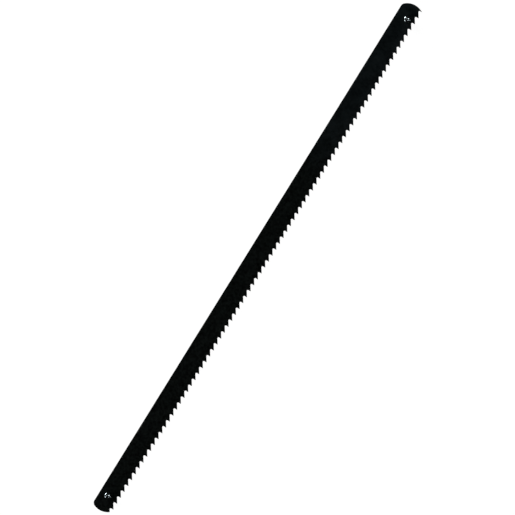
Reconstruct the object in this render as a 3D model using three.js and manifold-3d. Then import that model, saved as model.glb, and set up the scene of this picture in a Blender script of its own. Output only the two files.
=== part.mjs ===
// A pin-ended junior hacksaw blade: one toothed strip of hard steel with a short cross pin
// near each end. All sizes are in millimetres.
//
// The blade lies flat. X runs along it towards the rear pin, Y runs across it towards the
// smooth back edge, and Z is the way its upper side faces. The origin is at its middle.
// The teeth are on the -Y edge and point towards -X, the front.

import * as THREE from "three";
import { mergeVertices } from "three/addons/utils/BufferGeometryUtils.js";
import Module from "manifold-3d";

// Strip
const WIDTH = 6.1; // back edge to tooth tips
const THICKNESS = 0.6;
const END_RADIUS = 4.38; // both ends are rounded about their pins
const CORNER_RADIUS = 1.3; // where the rounded ends meet the back edge

// Teeth
const PITCH = 1.858;
const FIRST_TIP_X = -77.37; // the first whole tooth at the front
const TEETH_FROM = -1; // a corner of one more tooth is left at the front end
const TEETH_TO = 84; // and at the rear end
const RELIEF = THREE.MathUtils.degToRad(33.3); // slope of the back of a tooth
const GULLET_RADIUS = 0.28;
const GULLET_STEPS = 4;
const SET = 0.12; // how far each tip leans out, to alternate sides

// The row of teeth draws in towards the back edge near both ends.
const DRAW_IN_FROM = 48; // distance from the middle where it starts
const DRAW_IN_LENGTH = 29;
const FRONT_DRAW_IN = 0.41;
const REAR_DRAW_IN = 0.27;

// Pins
const PIN_SPACING = 150;
const FRONT_PIN_Y = 0.61;
const REAR_PIN_Y = -0.32;
const PIN_RADIUS = 0.85;
const PIN_LENGTH = 6;
const PIN_CHAMFER = 0.12;
const WAIST_RADIUS = 0.78; // where the pin passes through the strip
const WAIST_LENGTH = 0.7;
const HOLE_RADIUS = 0.8;
const ROUND_STEPS = 32;

const FRONT_PIN = new THREE.Vector2(-PIN_SPACING / 2, FRONT_PIN_Y);
const REAR_PIN = new THREE.Vector2(PIN_SPACING / 2, REAR_PIN_Y);

// Depths below a tooth tip. The gullet arc touches the relief slope and the next cutting face.
const ARC_X = PITCH - GULLET_RADIUS;
const FACE_DEPTH = ARC_X * Math.tan(RELIEF) - GULLET_RADIUS / Math.cos(RELIEF);
const ROOT_LENGTH = FACE_DEPTH / Math.tan(RELIEF);

const wasm = await Module();
wasm.setup();

// A three.js geometry as a closed solid that can be joined and cut.
function solidOf(geometry) {
  const plain = geometry.clone();
  plain.deleteAttribute("normal");
  plain.deleteAttribute("uv");
  const merged = mergeVertices(plain, 1e-5);
  return new wasm.Manifold(
    new wasm.Mesh({
      numProp: 3,
      vertProperties: merged.attributes.position.array,
      triVerts: new Uint32Array(merged.index.array),
    }),
  );
}

function geometryOf(solid) {
  const mesh = solid.getMesh();
  const geometry = new THREE.BufferGeometry();
  geometry.setAttribute("position", new THREE.BufferAttribute(mesh.vertProperties, 3));
  geometry.setIndex(new THREE.BufferAttribute(mesh.triVerts, 1));
  geometry.computeVertexNormals();
  return geometry;
}

// A flat outline given some thickness, centred on Z = 0.
function slab(shape, thickness) {
  const geometry = new THREE.ExtrudeGeometry(shape, {
    depth: thickness,
    bevelEnabled: false,
    curveSegments: 24,
  });
  return geometry.translate(0, 0, -thickness / 2);
}

function tipOf(index) {
  const x = FIRST_TIP_X + index * PITCH;
  const drawIn = x < 0 ? FRONT_DRAW_IN : REAR_DRAW_IN;
  const share = THREE.MathUtils.smoothstep(Math.abs(x), DRAW_IN_FROM, DRAW_IN_FROM + DRAW_IN_LENGTH);
  return new THREE.Vector2(x, -WIDTH / 2 + drawIn * share);
}

// The strip up to the line its teeth are bent about, gullets included, with ends still square.
function stripShape() {
  const points = [];
  for (let i = TEETH_FROM - 1; i <= TEETH_TO + 1; i++) {
    const tip = tipOf(i);
    points.push(new THREE.Vector2(tip.x, tip.y + FACE_DEPTH));
    points.push(new THREE.Vector2(tip.x + ROOT_LENGTH, tip.y + FACE_DEPTH));
    for (let k = 0; k < GULLET_STEPS; k++) {
      const angle = (Math.PI / 2 + RELIEF) * (1 - k / GULLET_STEPS);
      const x = tip.x + ARC_X + GULLET_RADIUS * Math.cos(angle);
      const y = tip.y + FACE_DEPTH + GULLET_RADIUS * Math.sin(angle);
      points.push(new THREE.Vector2(x, y));
    }
  }
  const last = tipOf(TEETH_TO + 2);
  points.push(new THREE.Vector2(last.x, last.y + FACE_DEPTH));
  points.push(new THREE.Vector2(last.x, WIDTH / 2));
  points.push(new THREE.Vector2(points[0].x, WIDTH / 2));
  return new THREE.Shape(points);
}

// One tooth above the bend line: a wedge whose tip leans towards side, which is 1 or -1.
function toothGeometry(index, side) {
  const tip = tipOf(index);
  const root = tip.y + FACE_DEPTH;
  const wedge = new THREE.Shape([
    new THREE.Vector2(tip.x, tip.y),
    new THREE.Vector2(tip.x + ROOT_LENGTH, root),
    new THREE.Vector2(tip.x, root),
  ]);
  const geometry = slab(wedge, THICKNESS);
  const position = geometry.attributes.position;
  for (let v = 0; v < position.count; v++) {
    const lean = (side * SET * (root - position.getY(v))) / FACE_DEPTH;
    position.setZ(v, position.getZ(v) + lean);
  }
  return geometry;
}

// The blade's outline seen from its side, with the toothed edge left wide of the tips.
function endsShape() {
  const reach = WIDTH;
  const low = -Math.PI / 3;
  const inner = END_RADIUS - CORNER_RADIUS;
  const cornerY = WIDTH / 2 - CORNER_RADIUS;
  const rear = Math.asin((cornerY - REAR_PIN.y) / inner);
  const front = Math.asin((cornerY - FRONT_PIN.y) / inner);
  const rearX = REAR_PIN.x + inner * Math.cos(rear);
  const frontX = FRONT_PIN.x - inner * Math.cos(front);
  const shape = new THREE.Shape();
  shape.moveTo(0, -reach);
  shape.lineTo(REAR_PIN.x + END_RADIUS * Math.cos(low), -reach);
  shape.absarc(REAR_PIN.x, REAR_PIN.y, END_RADIUS, low, rear, false);
  shape.absarc(rearX, cornerY, CORNER_RADIUS, rear, Math.PI / 2, false);
  shape.absarc(frontX, cornerY, CORNER_RADIUS, Math.PI / 2, Math.PI - front, false);
  shape.absarc(FRONT_PIN.x, FRONT_PIN.y, END_RADIUS, Math.PI - front, Math.PI - low, false);
  shape.lineTo(FRONT_PIN.x - END_RADIUS * Math.cos(low), -reach);
  return shape;
}

function holeAt(pin) {
  const geometry = new THREE.CylinderGeometry(HOLE_RADIUS, HOLE_RADIUS, 4 * THICKNESS, ROUND_STEPS);
  geometry.rotateX(Math.PI / 2);
  geometry.rotateZ(Math.PI / ROUND_STEPS);
  return geometry.translate(pin.x, pin.y, 0);
}

function bladeGeometry() {
  let blade = solidOf(slab(stripShape(), THICKNESS));
  for (let i = TEETH_FROM; i <= TEETH_TO; i++) {
    blade = blade.add(solidOf(toothGeometry(i, i % 2 === 0 ? 1 : -1)));
  }
  blade = blade.intersect(solidOf(slab(endsShape(), 4 * THICKNESS)));
  blade = blade.subtract(solidOf(holeAt(FRONT_PIN)));
  blade = blade.subtract(solidOf(holeAt(REAR_PIN)));
  return geometryOf(blade);
}

// A round pin with chamfered ends. Its waist sits in the hole, and the shoulders on both sides
// of the strip keep it from sliding out. One of its facets faces the blade's middle.
function pinGeometry(pin) {
  const end = PIN_LENGTH / 2;
  const waist = WAIST_LENGTH / 2;
  const profile = [
    new THREE.Vector2(0, -end),
    new THREE.Vector2(PIN_RADIUS - PIN_CHAMFER, -end),
    new THREE.Vector2(PIN_RADIUS, -end + PIN_CHAMFER),
    new THREE.Vector2(PIN_RADIUS, -waist),
    new THREE.Vector2(WAIST_RADIUS, -waist),
    new THREE.Vector2(WAIST_RADIUS, waist),
    new THREE.Vector2(PIN_RADIUS, waist),
    new THREE.Vector2(PIN_RADIUS, end - PIN_CHAMFER),
    new THREE.Vector2(PIN_RADIUS - PIN_CHAMFER, end),
    new THREE.Vector2(0, end),
  ];
  const geometry = new THREE.LatheGeometry(profile, ROUND_STEPS);
  geometry.rotateX(Math.PI / 2);
  geometry.rotateZ(Math.PI / ROUND_STEPS);
  return geometry.translate(pin.x, pin.y, 0);
}

const blackSteel = new THREE.MeshStandardMaterial({
  color: 0x17191b,
  roughness: 0.55,
  metalness: 0.4,
});
const pinSteel = new THREE.MeshStandardMaterial({
  color: 0x8c8f92,
  roughness: 0.35,
  metalness: 1,
});

function named(name, geometry, material) {
  const mesh = new THREE.Mesh(geometry, material);
  mesh.name = name;
  return mesh;
}

const sawBlade = new THREE.Group();
sawBlade.name = "junior_hacksaw_blade";
sawBlade.add(named("blade", bladeGeometry(), blackSteel));
sawBlade.add(named("front_pin", pinGeometry(FRONT_PIN), pinSteel));
sawBlade.add(named("rear_pin", pinGeometry(REAR_PIN), pinSteel));

export default sawBlade;
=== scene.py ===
# %% [markdown]
# # A pin-ended junior hacksaw blade
#
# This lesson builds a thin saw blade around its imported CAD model: one toothed strip of hard
# steel with a short cross pin through each rounded end. The saw frame hooks onto the pins
# and pulls the blade tight.
#
# The CAD model holds the sizes. Here the strip and both pins are rebuilt with the small
# things that make them look real: milled gullets, teeth bent to alternate sides, edges that
# are only just broken, cupped pin ends, and finishes that change over the surface.

# %% Load the frame
import math

import bmesh
import bpy
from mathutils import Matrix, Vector


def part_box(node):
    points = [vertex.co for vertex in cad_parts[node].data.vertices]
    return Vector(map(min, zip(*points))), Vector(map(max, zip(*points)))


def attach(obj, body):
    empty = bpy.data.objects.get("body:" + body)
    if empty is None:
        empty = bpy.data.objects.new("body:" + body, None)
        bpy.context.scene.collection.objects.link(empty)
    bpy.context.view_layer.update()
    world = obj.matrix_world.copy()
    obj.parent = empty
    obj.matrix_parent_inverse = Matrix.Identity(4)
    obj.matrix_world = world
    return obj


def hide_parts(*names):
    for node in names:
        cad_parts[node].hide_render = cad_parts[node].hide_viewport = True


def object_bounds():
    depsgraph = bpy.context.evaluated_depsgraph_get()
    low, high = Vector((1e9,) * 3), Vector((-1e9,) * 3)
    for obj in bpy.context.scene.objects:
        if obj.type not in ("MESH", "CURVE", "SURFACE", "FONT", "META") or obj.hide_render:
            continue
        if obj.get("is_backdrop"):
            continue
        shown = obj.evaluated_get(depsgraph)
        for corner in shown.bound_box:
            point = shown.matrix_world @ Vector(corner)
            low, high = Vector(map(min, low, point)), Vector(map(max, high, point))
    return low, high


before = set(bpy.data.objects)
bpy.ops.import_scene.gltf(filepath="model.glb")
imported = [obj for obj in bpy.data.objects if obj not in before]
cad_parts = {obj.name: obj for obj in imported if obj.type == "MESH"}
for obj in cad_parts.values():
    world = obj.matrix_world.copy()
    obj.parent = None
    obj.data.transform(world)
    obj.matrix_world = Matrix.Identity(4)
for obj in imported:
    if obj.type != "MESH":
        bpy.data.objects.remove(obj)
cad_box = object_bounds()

MM = 0.001
TOUCHING = 1e-4
print("nodes:", sorted(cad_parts))

# %% [markdown]
# ## Sizes from the CAD model
#
# Every piece is placed from the CAD boxes, so nothing is fitted by eye. Work goes on in
# millimetres, because mesh operators lose their grip on lengths of a few micrometres when
# those are written in metres. Each finished mesh is scaled to metres once, at the end. The
# camera and the stage are in metres throughout.
#
# Points closer than TOUCHING count as one point.
#
# X runs along the blade, Y across it towards the smooth back edge, and Z through it.


# %% Measure the nodes
def box_mm(node):
    low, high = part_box(node)
    return low / MM, high / MM


blade_low, blade_high = box_mm("blade")
pins = {}
for name in ("front_pin", "rear_pin"):
    low, high = box_mm(name)
    pins[name] = (low + high) / 2
pin_end = high.z
BACK_Y = blade_high.y
TIPS_Y = blade_low.y
END_RADIUS = pins["front_pin"].x - blade_low.x
print("blade %.2f mm long, %.2f mm wide" % (blade_high.x - blade_low.x, BACK_Y - TIPS_Y))
for name, centre in pins.items():
    print("%s at x %.2f, y %.2f mm" % (name, centre.x, centre.y))
print("ends rounded to %.2f mm, pins reach %.1f mm up and down" % (END_RADIUS, pin_end))

# %% [markdown]
# ## The camera
#
# The blade is looked at square to its flat side, turned so that it climbs from the lower left
# to the upper right. A camera close by would show the inner side of each pin, so this one
# stands well back with a long lens: at that distance the view is almost a flat drawing.
#
# The camera is turned about its own line of sight instead of turning the blade, because the
# blade has to stay where the CAD model has it.

# %% Place the camera
VIEW_WIDTH = 137.33 * MM
VIEW_MIDDLE = (0.04 * MM, 0.17 * MM)
LENS = 900
SENSOR = 36
FARTHEST = 20
TURN = math.radians(-58.21)

camera_data = bpy.data.cameras.new("camera")
camera_data.lens = LENS
camera_data.sensor_width = SENSOR
camera_data.clip_end = FARTHEST
camera = bpy.data.objects.new("camera", camera_data)
bpy.context.scene.collection.objects.link(camera)
camera_height = VIEW_WIDTH * LENS / SENSOR
camera.location = (*VIEW_MIDDLE, camera_height)
camera.rotation_euler = (0, 0, TURN)
bpy.context.scene.camera = camera

TO_RIGHT = Vector((math.cos(TURN), math.sin(TURN), 0))
TO_TOP = Vector((-math.sin(TURN), math.cos(TURN), 0))
print("camera %.2f m above the blade" % camera_height)

# %% [markdown]
# ## A short way to write shader nodes
#
# The sky and the finishes are trees of nodes, and many of those nodes are sums. Wrapping a
# socket in a small class lets the sums be written as Python expressions: worn * 0.5 + grain
# adds two Math nodes and links them. Every other node comes from one method, node.


# %% Wrap sockets
class Shade:
    """A socket of one node tree, used as a value in expressions."""

    def __init__(self, tree, socket=None):
        self.tree = tree
        self.socket = socket

    def node(self, kind, settings=None, values=None, out=0):
        made = self.tree.nodes.new(kind)
        for name, setting in (settings or {}).items():
            setattr(made, name, setting)
        for name, value in (values or {}).items():
            if isinstance(value, Shade):
                self.tree.links.new(value.socket, made.inputs[name])
            else:
                made.inputs[name].default_value = value
        return Shade(self.tree, made.outputs[out])

    def maths(self, operation, first, second):
        return self.node("ShaderNodeMath", {"operation": operation}, {0: first, 1: second})

    def __add__(self, other):
        return self.maths("ADD", self, other)

    __radd__ = __add__

    def __sub__(self, other):
        return self.maths("SUBTRACT", self, other)

    def __rsub__(self, other):
        return self.maths("SUBTRACT", other, self)

    def __mul__(self, other):
        return self.maths("MULTIPLY", self, other)

    __rmul__ = __mul__

    def between(self, low, high):
        """0 below low, 1 above high, and a smooth climb from one to the other."""
        limits = {"Value": self, "From Min": low, "From Max": high}
        return self.node("ShaderNodeMapRange", {"interpolation_type": "SMOOTHSTEP"}, limits)

    def colours(self, first, last):
        """A colour that goes from first to last as this value goes from 0 to 1."""
        # The Mix node lists its colour sockets as A, number 6, and B, number 7.
        ends = [end if isinstance(end, Shade) else (*end, 1) for end in (first, last)]
        picks = {"Factor": self, 6: ends[0], 7: ends[1]}
        return self.node("ShaderNodeMix", {"data_type": "RGBA"}, picks, out=2)


def join(shader, **links):
    """Link values to the shader's sockets, which are named with _ for a space."""
    for name, value in links.items():
        value.tree.links.new(value.socket, shader.inputs[name.replace("_", " ")])


print("shader nodes can be written as expressions")

# %% [markdown]
# ## The stage
#
# A black blade on a white ground is lit from the sides, with nothing bright straight above:
# its flat face then mirrors only darkness. The floor is a light table, which glows by itself,
# so the ground stays evenly white and shows hardly any shadow. The sky is pale near the
# horizon and dark overhead, for the same reason.
#
# The lamps are there to draw the pins. Polished steel seen from above shows a lamp only where
# the steel leans by half of the lamp's angle from straight up, so each lamp picks out one slope
# of a pin's end. A low lamp lights the chamfer outside the rim. The key lamp lights the rim's
# shoulder and the far wall of the cup, the fill lamp lights the shoulder on the other side,
# and a faint long lamp draws a thin line in the gentle part of the cup.

# %% Lay the floor
FLOOR_Z = -pin_end * MM
FLOOR_REACH = 6
PAPER_GREY = 0.2
GLOW = 0.95

bm = bmesh.new()
bmesh.ops.create_grid(bm, x_segments=1, y_segments=1, size=FLOOR_REACH)
bmesh.ops.translate(bm, vec=(0, 0, FLOOR_Z), verts=bm.verts)
floor_mesh = bpy.data.meshes.new("floor")
bm.to_mesh(floor_mesh)
bm.free()
floor = bpy.data.objects.new("floor", floor_mesh)
bpy.context.scene.collection.objects.link(floor)
floor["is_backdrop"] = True

floor_paper = bpy.data.materials.new("floor_paper")
floor_paper.use_nodes = True
paper = floor_paper.node_tree.nodes["Principled BSDF"]
paper.inputs["Base Color"].default_value = (PAPER_GREY, PAPER_GREY, PAPER_GREY, 1)
paper.inputs["Roughness"].default_value = 1
paper.inputs["Specular IOR Level"].default_value = 0
paper.inputs["Emission Color"].default_value = (1, 1, 1, 1)
paper.inputs["Emission Strength"].default_value = GLOW
floor_mesh.materials.append(floor_paper)
print("floor at z %.1f mm, where the pins' lower ends stand" % (FLOOR_Z / MM))


# %% Hang the lamps
LAMP_DISTANCE = 1.2


def soft_lamp(name, across, up, size, power):
    """A lamp aimed at the origin: its bearing in the view and its height, both in degrees."""
    turn, rise = math.radians(across), math.radians(up)
    flat = TO_RIGHT * math.cos(turn) + TO_TOP * math.sin(turn)
    place = flat * math.cos(rise) + Vector((0, 0, math.sin(rise)))
    data = bpy.data.lights.new(name, "AREA")
    data.shape = "RECTANGLE"
    data.size, data.size_y = size
    data.energy = power
    lamp = bpy.data.objects.new(name, data)
    lamp.location = place * LAMP_DISTANCE
    lamp.rotation_euler = place.to_track_quat("Z", "Y").to_euler()
    lamp.visible_camera = False
    bpy.context.scene.collection.objects.link(lamp)
    print("%s shows where polished steel leans by %.1f degrees" % (name, (90 - up) / 2))


soft_lamp("key_lamp", across=203, up=37, size=(0.55, 0.6), power=4.5)
soft_lamp("low_lamp", across=135, up=14, size=(0.65, 0.3), power=13)
soft_lamp("fill_lamp", across=-20, up=37, size=(0.4, 0.4), power=0.8)
soft_lamp("strip_lamp", across=-95, up=53, size=(1.3, 0.14), power=0.6)

# %% Paint the sky
PALE, DARK = 0.6, 0.01
PALE_BELOW, DARK_ABOVE = 0.02, 0.16

sky = bpy.data.worlds.new("studio")
sky.use_nodes = True
bpy.context.scene.world = sky
start = Shade(sky.node_tree)
direction = start.node("ShaderNodeTexCoord", out="Generated")
height = start.node("ShaderNodeSeparateXYZ", values={"Vector": direction}, out="Z")
fade = height.between(PALE_BELOW, DARK_ABOVE)
join(sky.node_tree.nodes["Background"], Color=PALE - fade * (PALE - DARK))
bpy.context.scene.view_settings.view_transform = "Standard"
print("sky: pale at the horizon, dark overhead")

# %% [markdown]
# ## One tooth
#
# The teeth of such a blade are milled: a cutter with a rounded corner runs across a stack of
# strips, steps on by one pitch and cuts again. Each tooth has an upright cutting face towards
# the front, a sloping back, and a rounded gullet before the next face.
#
# So one pitch of the strip is drawn once, as a single flat face, and repeated. The slope is
# one edge from the tip to the place where the cutter's corner touches it. The gullet is that
# last point spun about the corner's centre, until it meets the next cutting face.
# Three cuts across the tooth, at shares of its depth, leave lines to bend it along.

# %% Draw one pitch of the strip
PITCH = 1.858
RELIEF = math.radians(33.3)
GULLET_RADIUS = 0.28
GULLET_STEPS = 9
BEND_LINES = (1, 0.66, 0.33)

corner_x = PITCH - GULLET_RADIUS
FACE_DEPTH = corner_x * math.tan(RELIEF) - GULLET_RADIUS / math.cos(RELIEF)
GULLET_DEPTH = FACE_DEPTH + GULLET_RADIUS
corner = Vector((corner_x, TIPS_Y + FACE_DEPTH, 0))
touch = corner + GULLET_RADIUS * Vector((-math.sin(RELIEF), math.cos(RELIEF), 0))

strip = bmesh.new()
back_left = strip.verts.new((0, BACK_Y, 0))
tip = strip.verts.new((0, TIPS_Y, 0))
slope_end = strip.verts.new(touch)
strip.edges.new((back_left, tip))
strip.edges.new((tip, slope_end))
arc = bmesh.ops.spin(
    strip,
    geom=[slope_end],
    cent=corner,
    axis=(0, 0, 1),
    angle=-(math.pi / 2 + RELIEF),
    steps=GULLET_STEPS,
)
gullet_end = arc["geom_last"][0]
back_right = strip.verts.new((PITCH, BACK_Y, 0))
strip.edges.new((gullet_end, back_right))
strip.edges.new((back_right, back_left))
bmesh.ops.edgenet_fill(strip, edges=strip.edges[:])
for share in BEND_LINES:
    bmesh.ops.bisect_plane(
        strip,
        geom=strip.verts[:] + strip.edges[:] + strip.faces[:],
        dist=TOUCHING,
        plane_co=(0, TIPS_Y + FACE_DEPTH * share, 0),
        plane_no=(0, 1, 0),
    )
print("gullet ends at", [round(c, 3) for c in gullet_end.co])
print("tooth %.2f mm deep, %d faces in one pitch" % (GULLET_DEPTH, len(strip.faces)))

# %% [markdown]
# ## The row of teeth
#
# The pitch is repeated with the spin operator: given no angle, only a step along X, it lays
# copies side by side, as an array would. Welding the seams afterwards makes one sheet. It is
# made longer than the blade, because the ends are cropped later.
#
# Towards both ends the row of teeth draws in a little, by a few tenths of a millimetre. Each
# tooth is shifted as a whole, so that its own shape stays true.

# %% Repeat the pitch
FIRST_TIP_X = -77.37
TEETH_FROM = -2
TEETH = 88
SEAM = 1e-3

bmesh.ops.translate(strip, vec=(FIRST_TIP_X + TEETH_FROM * PITCH, 0, 0), verts=strip.verts)
bmesh.ops.spin(
    strip,
    geom=strip.verts[:] + strip.edges[:] + strip.faces[:],
    cent=(0, 0, 0),
    axis=(0, 0, 1),
    dvec=(PITCH, 0, 0),
    angle=0,
    steps=TEETH - 1,
    use_duplicate=True,
)
bmesh.ops.remove_doubles(strip, verts=strip.verts[:], dist=SEAM)
reach = [v.co.x for v in strip.verts]
print("sheet from x %.2f to %.2f mm, %d faces" % (min(reach), max(reach), len(strip.faces)))

# %% Draw in the row at both ends
DRAW_IN_FROM = 48
DRAW_IN_LENGTH = 29
FRONT_DRAW_IN = 0.41
REAR_DRAW_IN = 0.27


def tooth_at(x):
    """The number of the tooth at x. What lies on a seam belongs to the tooth that starts there."""
    return math.floor((x - FIRST_TIP_X) / PITCH + SEAM)


def draw_in(tooth):
    """How far a tooth is shifted towards the back edge, in millimetres."""
    x = FIRST_TIP_X + tooth * PITCH
    share = min(max((abs(x) - DRAW_IN_FROM) / DRAW_IN_LENGTH, 0), 1)
    most = FRONT_DRAW_IN if x < 0 else REAR_DRAW_IN
    return most * share * share * (3 - 2 * share)


for v in strip.verts:
    if v.co.y < TIPS_Y + GULLET_DEPTH + SEAM:
        v.co.y += draw_in(tooth_at(v.co.x))
drawn = [draw_in(tooth_at(end.x)) for end in (blade_low, blade_high)]
print("row drawn in by %.2f mm at the front and %.2f mm at the rear" % tuple(drawn))

# %% [markdown]
# ## The rounded ends
#
# On the real blade a press crops the toothed strip with a round die centred on each pin hole,
# straight through whatever tooth is there, so a broken corner of a tooth is left at each end.
#
# The corner where a round end meets the back edge is itself rounded, with a smaller circle
# that touches both.
#
# A rounded end bulges outwards everywhere, so it can be made with straight cuts alone: each
# cut touches a circle and throws away what lies outside it, like cutting a disc of paper with
# scissors. Where the big circle hands over to the small one, the cut leans by the same angle.
# The cuts start past the tooth tips. Their steps are in degrees, and are wider on the small
# circle.

# %% Crop both ends
CORNER_RADIUS = 1.3
FIRST_CUT = -66
CUT_STEP = 3
SMALL_CUT_STEP = 6


def cut_outside(centre, radius, outward, degrees):
    """Throw away what lies beyond the tangent to a circle. outward is 1 at the rear end."""
    angle = math.radians(degrees)
    away = Vector((outward * math.cos(angle), math.sin(angle), 0))
    bmesh.ops.bisect_plane(
        strip,
        geom=strip.verts[:] + strip.edges[:] + strip.faces[:],
        dist=TOUCHING,
        plane_co=centre + away * radius,
        plane_no=away,
        clear_outer=True,
    )


for name, outward in (("front_pin", -1), ("rear_pin", 1)):
    pin_place = pins[name].xy.to_3d()
    inner = END_RADIUS - CORNER_RADIUS
    corner_y = BACK_Y - CORNER_RADIUS
    handover = math.asin((corner_y - pin_place.y) / inner)
    small = Vector((pin_place.x + outward * inner * math.cos(handover), corner_y, 0))
    turn = math.degrees(handover)
    for degrees in range(FIRST_CUT, math.floor(turn), CUT_STEP):
        cut_outside(pin_place, END_RADIUS, outward, degrees)
    steps = math.ceil((90 - turn) / SMALL_CUT_STEP)
    for step in range(steps):
        cut_outside(small, CORNER_RADIUS, outward, turn + (90 - turn) * step / steps)
    print("%s: the small circle takes over at %.0f degrees" % (name, turn))
reach = [v.co.x for v in strip.verts]
print("cropped from x %.2f to %.2f mm" % (min(reach), max(reach)))

# %% [markdown]
# ## Thickness and set
#
# The sheet is extruded to the strip's thickness. Then the teeth get their set: each is bent
# out of the strip a little, one up and the next down, so that the cut is wider than the strip
# and the blade doesn't bind. The bend grows from the root, a little faster near the tip, as it
# does when a press nips each tooth over.

# %% Extrude the sheet and set the teeth
THICKNESS = 0.6
SET = blade_high.z - THICKNESS / 2
BEND_CURVE = 1.3

bmesh.ops.translate(strip, vec=(0, 0, -THICKNESS / 2), verts=strip.verts)
grown = bmesh.ops.extrude_face_region(strip, geom=strip.faces[:])
upper = [g for g in grown["geom"] if isinstance(g, bmesh.types.BMVert)]
bmesh.ops.translate(strip, vec=(0, 0, THICKNESS), verts=upper)
bmesh.ops.recalc_face_normals(strip, faces=strip.faces[:])
for v in strip.verts:
    tooth = tooth_at(v.co.x)
    root = TIPS_Y + FACE_DEPTH + draw_in(tooth)
    bend = min(max((root - v.co.y) / FACE_DEPTH, 0), 1)
    v.co.z += (1 if tooth % 2 == 0 else -1) * SET * bend**BEND_CURVE
print("set %.2f mm to each side, %d faces" % (SET, len(strip.faces)))


# %% [markdown]
# ## The pin holes
#
# A Boolean is the plain way to put a round hole in a finished plate. The cutter is a circle
# extruded through the strip. It is thrown away as soon as the hole is cut.


# %% Bore the holes
def object_from(bm, name):
    """The bmesh, given in millimetres, as an object in metres at the origin."""
    bmesh.ops.scale(bm, vec=(MM, MM, MM), verts=bm.verts[:])
    mesh = bpy.data.meshes.new(name)
    bm.to_mesh(mesh)
    bm.free()
    made = bpy.data.objects.new(name, mesh)
    bpy.context.scene.collection.objects.link(made)
    return made


HOLE_RADIUS = 0.8
HOLE_SIDES = 64
CUTTER_LENGTH = 2

cutter_bm = bmesh.new()
for centre in pins.values():
    ring = bmesh.ops.create_circle(
        cutter_bm, cap_ends=True, segments=HOLE_SIDES, radius=HOLE_RADIUS
    )
    below = (centre.x, centre.y, -CUTTER_LENGTH / 2)
    bmesh.ops.translate(cutter_bm, vec=below, verts=ring["verts"])
walls = bmesh.ops.extrude_face_region(cutter_bm, geom=cutter_bm.faces[:])
tops = [g for g in walls["geom"] if isinstance(g, bmesh.types.BMVert)]
bmesh.ops.translate(cutter_bm, vec=(0, 0, CUTTER_LENGTH), verts=tops)
bmesh.ops.recalc_face_normals(cutter_bm, faces=cutter_bm.faces[:])

plate_mesh = bpy.data.meshes.new("plate")
strip.to_mesh(plate_mesh)
strip.free()
plate = bpy.data.objects.new("plate", plate_mesh)
cutter_mesh = bpy.data.meshes.new("cutter")
cutter_bm.to_mesh(cutter_mesh)
cutter_bm.free()
cutter = bpy.data.objects.new("cutter", cutter_mesh)
for helper in (plate, cutter):
    bpy.context.scene.collection.objects.link(helper)
bore = plate.modifiers.new("bore", "BOOLEAN")
bore.operation = "DIFFERENCE"
bore.solver = "EXACT"
bore.object = cutter
bored = plate.evaluated_get(bpy.context.evaluated_depsgraph_get()).to_mesh()
blade_bm = bmesh.new()
blade_bm.from_mesh(bored)
bpy.data.objects.remove(plate)
bpy.data.objects.remove(cutter)
bpy.data.meshes.remove(plate_mesh)
bpy.data.meshes.remove(cutter_mesh)
bmesh.ops.remove_doubles(blade_bm, verts=blade_bm.verts[:], dist=TOUCHING)
open_edges = sum(not e.is_manifold for e in blade_bm.edges)
print("bored strip: %d faces, %d open edges" % (len(blade_bm.faces), open_edges))

# %% [markdown]
# ## Broken edges
#
# No steel edge is perfectly sharp. Tumbling and coating leave a tiny round that catches the
# light, and a bevel of about a hundredth of a millimetre gives it. Only edges that turn by
# more than EDGE_TURN degrees are bevelled, so the lines where the teeth bend stay as they are.

# %% Break the edges
BREAK = 0.014
EDGE_TURN = 25

sharp = [e for e in blade_bm.edges if e.calc_face_angle(0) > math.radians(EDGE_TURN)]
bmesh.ops.bevel(
    blade_bm,
    geom=sharp,
    offset=BREAK,
    offset_type="OFFSET",
    segments=2,
    profile=0.5,
    affect="EDGES",
    clamp_overlap=True,
    material=-1,
)
bmesh.ops.recalc_face_normals(blade_bm, faces=blade_bm.faces[:])
open_edges = sum(not e.is_manifold for e in blade_bm.edges)
print("bevelled %d edges: %d faces, %d open" % (len(sharp), len(blade_bm.faces), open_edges))
blade = object_from(blade_bm, "toothed_strip")


# %% Smooth the strip
def smooth(piece, degrees):
    """Smooth shading that keeps large flat faces flat and corners over the angle crisp."""
    piece.data.shade_smooth()
    piece.data.set_sharp_from_angle(angle=math.radians(degrees))
    weigh = piece.modifiers.new("even_normals", "WEIGHTED_NORMAL")
    weigh.keep_sharp = True
    weigh.weight = 100


smooth(blade, degrees=50)
print("strip has", len(blade.data.polygons), "faces")

# %% [markdown]
# ## The cross pins
#
# Each pin is cut from drawn wire, pushed through its hole and squeezed, so it bulges against
# the strip on both sides and can't slide out. The squeeze leaves a shallow cup in each end,
# with a rolled rim round it.
#
# The end is polished, and its slopes decide where light sparkles on it. So it is written as
# rings from the outside in, each with its width and its slope in degrees, which is above zero
# where the steel rises towards the middle. They are a chamfer, a gentler shoulder, the flat
# top of the rim, and a cup whose wall gets gentler towards the middle.
#
# A pin is round, so its profile is drawn once, from the middle of one end to the middle of
# the other, and spun a full turn.

# %% Write down the pin
PIN_RADIUS = 0.85
WAIST_RADIUS = 0.78
WAIST_HALF = 0.35
NICK = 0.03
CHAMFER, SHOULDER, RIM_TOP = (0.10, 38), (0.06, 26), (0.18, 0)
CUP = [(0.10, -34), (0.11, -27), (0.09, -19), (0.08, -13), (0.13, -2)]


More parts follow.
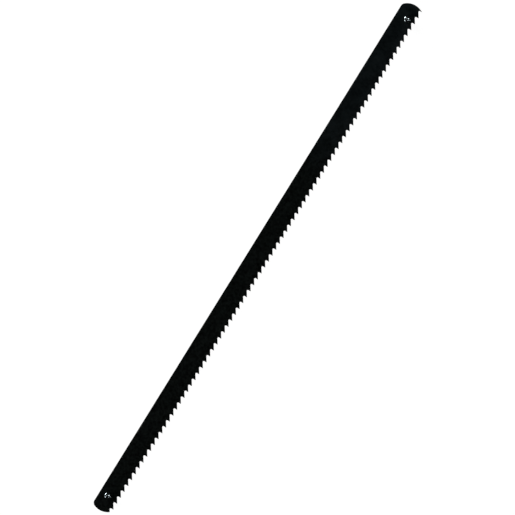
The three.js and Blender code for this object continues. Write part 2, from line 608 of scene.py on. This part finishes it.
def end_profile():
    """Half a pin's profile: radius and height, from the waist up to the middle of the cup."""
    profile = [
        (WAIST_RADIUS, 0),
        (WAIST_RADIUS, WAIST_HALF - NICK),
        (WAIST_RADIUS + NICK, WAIST_HALF),
        (PIN_RADIUS - NICK, WAIST_HALF),
        (PIN_RADIUS, WAIST_HALF + NICK),
    ]
    rings = [CHAMFER, SHOULDER, RIM_TOP] + CUP
    climbs = [width * math.tan(math.radians(slope)) for width, slope in rings]
    radius = PIN_RADIUS
    height = pin_end - sum(climb for climb in climbs if climb > 0)
    profile.append((radius, height))
    for (width, slope), climb in zip(rings, climbs):
        radius = max(radius - width, 0)
        height += climb
        profile.append((radius, height))
    return profile


cup_radius = sum(width for width, slope in CUP)
cup_depth = pin_end - end_profile()[-1][1]
print("cup %.2f mm across and %.2f mm deep" % (2 * cup_radius, cup_depth))


# %% Spin the pins
PIN_SIDES = 72


def spun_pin(name, centre):
    """One pin, spun about its own axis and then moved to its hole."""
    bm = bmesh.new()
    half = end_profile()
    line = [(r, -z) for r, z in reversed(half[1:])] + half
    points = [bm.verts.new((r, 0, z)) for r, z in line]
    chain = [bm.edges.new(pair) for pair in zip(points, points[1:])]
    bmesh.ops.spin(
        bm,
        geom=points + chain,
        cent=(0, 0, 0),
        axis=(0, 0, 1),
        angle=2 * math.pi,
        steps=PIN_SIDES,
        use_merge=True,
    )
    bmesh.ops.remove_doubles(bm, verts=bm.verts[:], dist=TOUCHING)
    bmesh.ops.recalc_face_normals(bm, faces=bm.faces[:])
    bmesh.ops.translate(bm, vec=(centre.x, centre.y, 0), verts=bm.verts)
    print("%s: %d faces, %.2f mm3" % (name, len(bm.faces), bm.calc_volume()))
    return object_from(bm, name)


front_pin = spun_pin("toe_cross_pin", pins["front_pin"])
rear_pin = spun_pin("heel_cross_pin", pins["rear_pin"])
for pin in (front_pin, rear_pin):
    smooth(pin, degrees=20)


# %% [markdown]
# ## What all finishes need
#
# A finish starts from a material with its Principled shader, and from a place: where a point
# is on the piece. The place is read in Object coordinates, because every piece lies at the
# origin, so the pattern keeps to the steel. It is scaled to millimetres, so a pattern's size
# can be read off its numbers. Stretching the place along an axis squeezes the pattern there.


# %% Start a finish
GRAIN_HEIGHT = 0.003 * MM


def new_material(name):
    """A named material, an empty value to start its nodes from, and its Principled shader."""
    material = bpy.data.materials.new(name)
    material.use_nodes = True
    return material, Shade(material.node_tree), material.node_tree.nodes["Principled BSDF"]


def place_in_mm(start, stretch=(1, 1, 1)):
    """Where a point is on the object, in millimetres, stretched along each axis."""
    spot = start.node("ShaderNodeTexCoord", out="Object")
    size = [s / MM for s in stretch]
    return start.node("ShaderNodeMapping", values={"Vector": spot, "Scale": size})


def noise(spot, scale, detail, roughness=0.5):
    """Noise over a place in millimetres. A scale of 2 makes blotches half a millimetre wide."""
    values = {"Vector": spot, "Scale": scale, "Detail": detail, "Roughness": roughness}
    return spot.node("ShaderNodeTexNoise", values=values)


print("the grain stands about %.3f mm high" % (GRAIN_HEIGHT / MM))

# %% [markdown]
# ## Black hardened steel
#
# The strip is hard steel under a thin black coat. Under the coat the steel keeps the fine
# lines that rolling and grinding left along it. The coat is mottled at a scale of half a
# millimetre, blooms in larger patches where it took unevenly, has pin-prick specks, and is
# rubbed a little thinner on the tooth tips. Over the last third towards the heel the colour
# is a painted sheen: lighter and a faint cold blue, in patches, where the blade catches more
# light.
#
# Such a coat is nearly as dark as a coat can be. The two colours of each mix differ many times
# over, and yet both look black. Most of these patterns also move the roughness and the bump a
# little, because a change of gloss is what the eye picks out when the blade is tilted.

# %% Find the patterns of the coat
# The first two numbers bound the painted sheen towards the heel, in millimetres along the blade.
HEEL_SHEEN_STARTS = 32
HEEL_SHEEN_FULL = 48
HEEL_SHEEN_WANDER = 16
RUBBED_DEPTH = 0.5
ROLLED = (0.12, 9, 9)

black_coat, start, coat = new_material("black_coat")
spot = place_in_mm(start)
along = start.node("ShaderNodeSeparateXYZ", values={"Vector": spot}, out="X")
across = start.node("ShaderNodeSeparateXYZ", values={"Vector": spot}, out="Y")
lines = noise(place_in_mm(start, ROLLED), 1, 4)
bloom = noise(spot, 0.55, 5, roughness=0.6)
patches = bloom.between(0.35, 0.68)
mottle = noise(spot, 1.9, 4).between(0.3, 0.7)
drifts = noise(spot, 0.3, 3).between(0.36, 0.64)
specks = noise(spot, 7, 2).between(0.62, 0.72)
tips = (0 - across).between(-TIPS_Y - RUBBED_DEPTH, -TIPS_Y)
rubbed = tips * bloom.between(0.4, 0.6)
# Painted sheen: this mask lightens the coat and turns it blue over the heel third.
heel_sheen_mask = (along + bloom * HEEL_SHEEN_WANDER).between(HEEL_SHEEN_STARTS, HEEL_SHEEN_FULL)
print("patterns of the coat:", len(black_coat.node_tree.nodes), "nodes")

# %% Mix the black coat
DEEP_BLACK = (0.0003, 0.0004, 0.0003)
PALE_BLACK = (0.0059, 0.0082, 0.0073)
# The blue pair is a painted sheen, lighter and colder than the coat, used towards the heel.
DEEP_SHEEN_BLUE = (0.0020, 0.0033, 0.0037)
PALE_SHEEN_BLUE = (0.0086, 0.0121, 0.0131)

toe_cover = patches * 0.2 + lines * 0.15 + mottle * 0.7 + rubbed * 0.3
# The heel mix is the painted sheen, patchy. It is not a colour of the coat.
heel_sheen_cover = drifts * 0.5 + mottle * 0.35 + lines * 0.15
toe_black = toe_cover.colours(DEEP_BLACK, PALE_BLACK)
painted_heel_sheen = heel_sheen_cover.colours(DEEP_SHEEN_BLUE, PALE_SHEEN_BLUE)
relief = start.node(
    "ShaderNodeBump",
    values={
        "Strength": 0.35,
        "Distance": GRAIN_HEIGHT,
        "Height": lines * 0.5 + specks * 0.5 + bloom * 0.3,
    },
)
join(
    coat,
    # Base colour: the black coat, with the painted sheen mixed in towards the heel.
    Base_Color=heel_sheen_mask.colours(toe_black, painted_heel_sheen),
    Roughness=patches * 0.06 + lines * 0.1 + mottle * 0.1 + specks * 0.12 + 0.22,
    Normal=relief,
)
coat.inputs["Specular IOR Level"].default_value = 0.13
blade.data.materials.append(black_coat)
print("black coat:", len(black_coat.node_tree.nodes), "nodes")

# %% [markdown]
# ## Drawn pin steel
#
# The pins are plain drawn wire, a cool grey. Drawing leaves fine lines along it, and handling
# leaves a patchy stain that dulls it a little. The metal stays smooth all over, because sparks
# of light are small and crisp only on a smooth surface.

# %% Mix the pin steel
BRIGHT_WIRE = (0.42, 0.48, 0.50)
DULL_WIRE = (0.25, 0.29, 0.30)
DRAWN = (16, 16, 0.6)

pin_steel, start, wire = new_material("pin_steel")
lines = noise(place_in_mm(start, DRAWN), 1, 4)
stain = noise(place_in_mm(start), 2.2, 4)
dull = stain.between(0.32, 0.72)
relief = start.node(
    "ShaderNodeBump",
    values={"Strength": 0.2, "Distance": GRAIN_HEIGHT, "Height": lines * 0.8 + stain * 0.2},
)
join(
    wire,
    Base_Color=(dull * 0.5 + lines * 0.5).colours(BRIGHT_WIRE, DULL_WIRE),
    Roughness=dull * 0.05 + lines * 0.04 + 0.08,
    Normal=relief,
)
wire.inputs["Metallic"].default_value = 1
for pin in (front_pin, rear_pin):
    pin.data.materials.append(pin_steel)
print("pin steel:", len(pin_steel.node_tree.nodes), "nodes")

# %% [markdown]
# ## Joining the frame
#
# Each new piece is listed with the CAD node it stands for and the finish slot it belongs to.
# The CAD node is hidden, and the piece is hung on the body that carries it. Nothing on a saw
# blade moves, so the one body is the root.

# %% Hang the pieces on the frame
for piece, node, slot in (
    (blade, "blade", "black_steel"),
    (front_pin, "front_pin", "pin_steel"),
    (rear_pin, "rear_pin", "pin_steel"),
):
    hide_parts(node)
    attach(piece, "root")
print("pieces ride on the root")

# %% Compare sizes and finish
visual_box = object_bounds()
sizes = {"cad": [list(c) for c in cad_box], "visual": [list(c) for c in visual_box]}
for name, (low, high) in sizes.items():
    print(name, "box:", [round((b - a) / MM, 2) for a, b in zip(low, high)], "mm")
